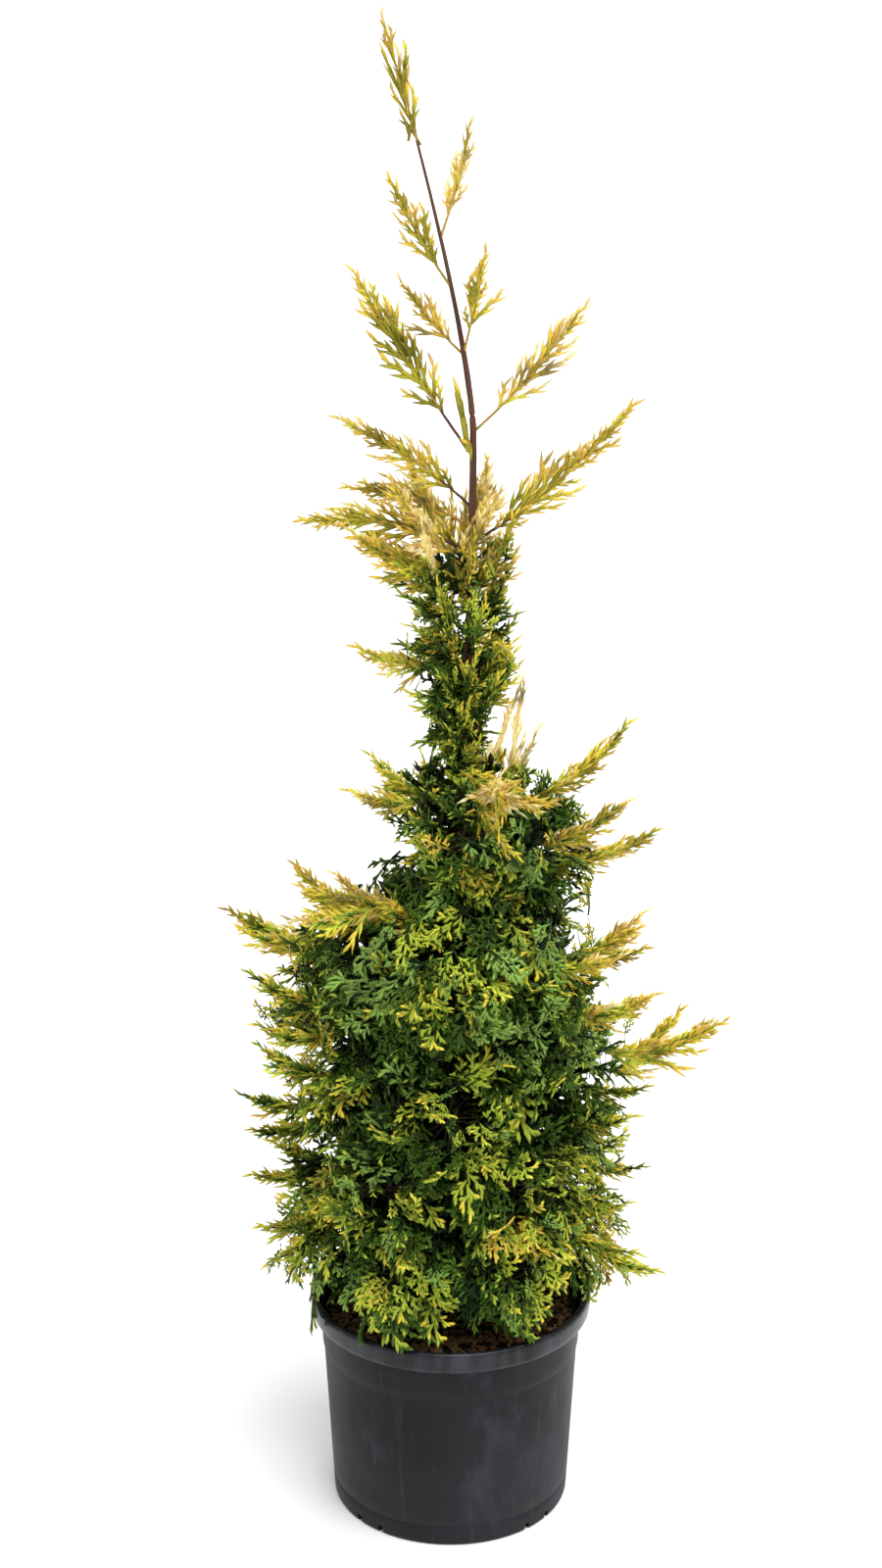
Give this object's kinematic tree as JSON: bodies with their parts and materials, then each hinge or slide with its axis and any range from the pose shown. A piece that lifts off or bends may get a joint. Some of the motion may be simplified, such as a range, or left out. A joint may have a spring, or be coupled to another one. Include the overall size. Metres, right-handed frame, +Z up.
{
  "type": "potted leyland cypress",
  "caption": "Young conical golden leyland cypress with flat feathery sprays, leaning tip and slim trunk, growing in a round tapered nursery pot with a thick rim.",
  "frame": {"origin": "centre of the pot's flat underside", "axes": "+Z up along the plant, -Y towards the side the picture shows, +X to its right"},
  "size_m": [0.5272, 0.3547, 1.5624],
  "materials": {
    "pot_plastic": "satin, scuffed",
    "potting_soil": "rough, matt",
    "bark": "rough, matt",
    "foliage_pale": "soft satin",
    "foliage_gold": "soft satin",
    "foliage_olive": "soft satin",
    "foliage_lime": "soft satin",
    "foliage_green": "soft satin",
    "foliage_deep": "soft satin"
  },
  "bodies": {
    "root": {"pot": "pot_plastic", "potting_soil": "potting_soil", "trunk": "bark", "foliage_leader_spray_1": "foliage_pale", "foliage_leader_spray_2": "foliage_olive", "foliage_leader_spray_3": "foliage_pale", "foliage_leader_spray_4": "foliage_olive", "bough_upper_left": "bark", "foliage_upper_left": "foliage_olive", "foliage_upper_right": "foliage_gold", "bough_left_high": "bark", "foliage_left_high": "foliage_gold", "bough_right_high": "bark", "foliage_right_high": "foliage_gold", "bough_left_low": "bark", "foliage_left_low": "foliage_olive", "foliage_left_back": "foliage_gold", "foliage_shoulder_back": "foliage_gold", "foliage_column_right_top": "foliage_green", "bough_column_right": "bark", "foliage_column_right": "foliage_olive", "foliage_column_left_top": "foliage_olive", "foliage_column_left": "foliage_gold", "foliage_column_back": "foliage_deep", "foliage_column_front": "foliage_green", "bough_middle_right_top": "bark", "foliage_middle_right_top": "foliage_gold", "foliage_middle_left_top": "foliage_gold", "foliage_middle_front": "foliage_gold", "foliage_middle_right": "foliage_olive", "foliage_middle_right_low": "foliage_gold", "foliage_middle_back": "foliage_green", "foliage_middle_pale": "foliage_pale", "bough_body_left_high": "bark", "foliage_body_left_high": "foliage_gold", "bough_body_left_far": "bark", "foliage_body_left_far": "foliage_gold", "foliage_body_left_mid": "foliage_olive", "foliage_body_left_low": "foliage_olive", "foliage_body_right_high": "foliage_gold", "bough_body_right_far": "bark", "foliage_body_right_far": "foliage_gold", "foliage_body_right_mid": "foliage_lime", "foliage_body_front_high": "foliage_lime", "foliage_body_front_right_high": "foliage_green", "foliage_body_front_left_high": "foliage_green", "foliage_body_front_mid": "foliage_lime", "foliage_body_front_right": "foliage_green", "foliage_body_front_left": "foliage_green", "foliage_body_back_high": "foliage_green", "foliage_body_back_left": "foliage_deep", "foliage_body_back_right": "foliage_deep", "foliage_body_back_low": "foliage_green", "foliage_foot_left": "foliage_lime", "foliage_foot_right": "foliage_lime", "foliage_foot_front_left": "foliage_lime", "foliage_foot_front_right": "foliage_lime", "foliage_foot_back_left": "foliage_green", "foliage_foot_back_right": "foliage_green", "foliage_leader_tip": "foliage_gold"}
  },
  "joints": []
}
